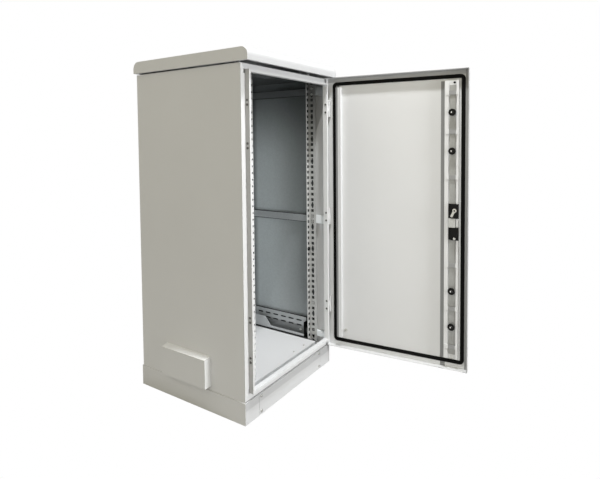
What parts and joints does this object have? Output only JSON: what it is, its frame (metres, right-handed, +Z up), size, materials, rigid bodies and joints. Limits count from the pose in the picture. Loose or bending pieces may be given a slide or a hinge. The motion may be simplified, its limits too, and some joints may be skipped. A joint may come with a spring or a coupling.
{
  "type": "outdoor utility cabinet",
  "caption": "Floor-standing sheet-metal outdoor cabinet with a plinth, canopy roof, side vent cowl, perforated posts inside, and a hinged front door with a rod lock and swing handle.",
  "frame": {"origin": "centre of the anchor holes on the underside of the plinth", "axes": "+Z up, -Y towards the front, +X towards the hinged side of the door"},
  "size_m": [0.7077, 1.147, 1.3265],
  "materials": {
    "paint": "satin light grey powder coat",
    "galvanised": "dull galvanised",
    "screws": "bright zinc",
    "runner_paint": "satin dark grey",
    "seal": "matt black",
    "black_plastic": "matt black",
    "filter": "open grey mat",
    "key_chrome": "polished"
  },
  "bodies": {
    "cabinet": {"plinth_frame": "paint", "plinth_front_cover": "paint", "left_side_panel": "paint", "right_side_panel": "paint", "rear_panel": "paint", "rear_panel_rivets": "paint", "top_plate": "paint", "left_frame_member": "paint", "right_frame_member": "paint", "frame_head": "paint", "frame_sill": "paint", "roof_canopy": "paint", "vent_cowl": "paint", "hinge_frame_leaves": "paint", "floor_plate": "paint", "front_left_post": "galvanised", "front_right_post": "galvanised", "rear_left_post": "galvanised", "rear_right_post": "galvanised", "upper_left_rail": "galvanised", "upper_right_rail": "galvanised", "middle_left_rail": "galvanised", "middle_right_rail": "galvanised", "lower_left_rail": "galvanised", "lower_right_rail": "galvanised", "lock_keepers": "galvanised", "roof_spacers": "galvanised", "plinth_cover_screws": "screws", "panel_screws": "screws", "roof_bolts": "screws", "rail_bolts": "screws", "frame_screws": "screws", "hinge_pins": "screws", "left_runner": "runner_paint", "right_runner": "runner_paint", "post_plug": "black_plastic", "runner_end_caps": "black_plastic", "vent_filter": "filter"},
    "door": {"door_pan": "paint", "door_seal": "seal", "hinge_stiffener": "paint", "lock_stiffener": "paint", "hinge_door_leaves": "paint", "upper_lock_housing": "black_plastic", "lower_lock_housing": "black_plastic", "lock_case": "galvanised", "rod_guides": "paint", "door_earth_stud": "screws", "handle_base": "black_plastic"},
    "spindle": {"handle_spindle": "screws"},
    "lever": {"handle_lever": "black_plastic", "lever_pin": "screws"},
    "key": {"key_cylinder": "key_chrome"},
    "upper_rod": {"upper_lock_rod": "galvanised"},
    "lower_rod": {"lower_lock_rod": "galvanised"},
    "upper_outer_spool": {"upper_outer_roller": "black_plastic"},
    "upper_inner_spool": {"upper_inner_roller": "black_plastic"},
    "lower_inner_spool": {"lower_inner_roller": "black_plastic"},
    "lower_outer_spool": {"lower_outer_roller": "black_plastic"}
  },
  "joints": [
    {"name": "door_hinge", "type": "hinge", "parent": "cabinet", "child": "door", "pos_m": [0.289, -0.2865, 0.668], "axis": [0, 0, 1], "range_deg": [-96.5, 18.5]},
    {"name": "handle_turn", "type": "hinge", "parent": "door", "child": "spindle", "pos_m": [0.36146, -0.80765, 0.676], "axis": [0.9936, 0.1132, 0], "range_deg": [-90, 0]},
    {"name": "handle_lift", "type": "hinge", "parent": "spindle", "child": "lever", "pos_m": [0.37338, -0.80629, 0.676], "axis": [0, 0, -1], "range_deg": [0, 40]},
    {"name": "key_turn", "type": "hinge", "parent": "lever", "child": "key", "pos_m": [0.36297, -0.71488, 0.676], "axis": [0.9936, 0.1132, 0], "range_deg": [0, 90]},
    {"name": "upper_rod_slide", "type": "slide", "parent": "door", "child": "upper_rod", "axis": [0, 0, 1], "range_m": [0, 0.02]},
    {"name": "lower_rod_slide", "type": "slide", "parent": "door", "child": "lower_rod", "axis": [0, 0, -1], "range_m": [0, 0.02]},
    {"name": "upper_outer_spin", "type": "hinge", "parent": "upper_rod", "child": "upper_outer_spool", "pos_m": [0.33652, -0.81049, 1.11], "axis": [0.9936, 0.1132, 0], "continuous": true},
    {"name": "upper_inner_spin", "type": "hinge", "parent": "upper_rod", "child": "upper_inner_spool", "pos_m": [0.33652, -0.81049, 0.959], "axis": [0.9936, 0.1132, 0], "continuous": true},
    {"name": "lower_inner_spin", "type": "hinge", "parent": "lower_rod", "child": "lower_inner_spool", "pos_m": [0.33652, -0.81049, 0.404], "axis": [0.9936, 0.1132, 0], "continuous": true},
    {"name": "lower_outer_spin", "type": "hinge", "parent": "lower_rod", "child": "lower_outer_spool", "pos_m": [0.33652, -0.81049, 0.26], "axis": [0.9936, 0.1132, 0], "continuous": true}
  ],
  "couplings": [
    {"joint": "upper_rod_slide", "follows": "handle_turn", "m_per_rad": -0.012732},
    {"joint": "lower_rod_slide", "follows": "handle_turn", "m_per_rad": -0.012732}
  ]
}
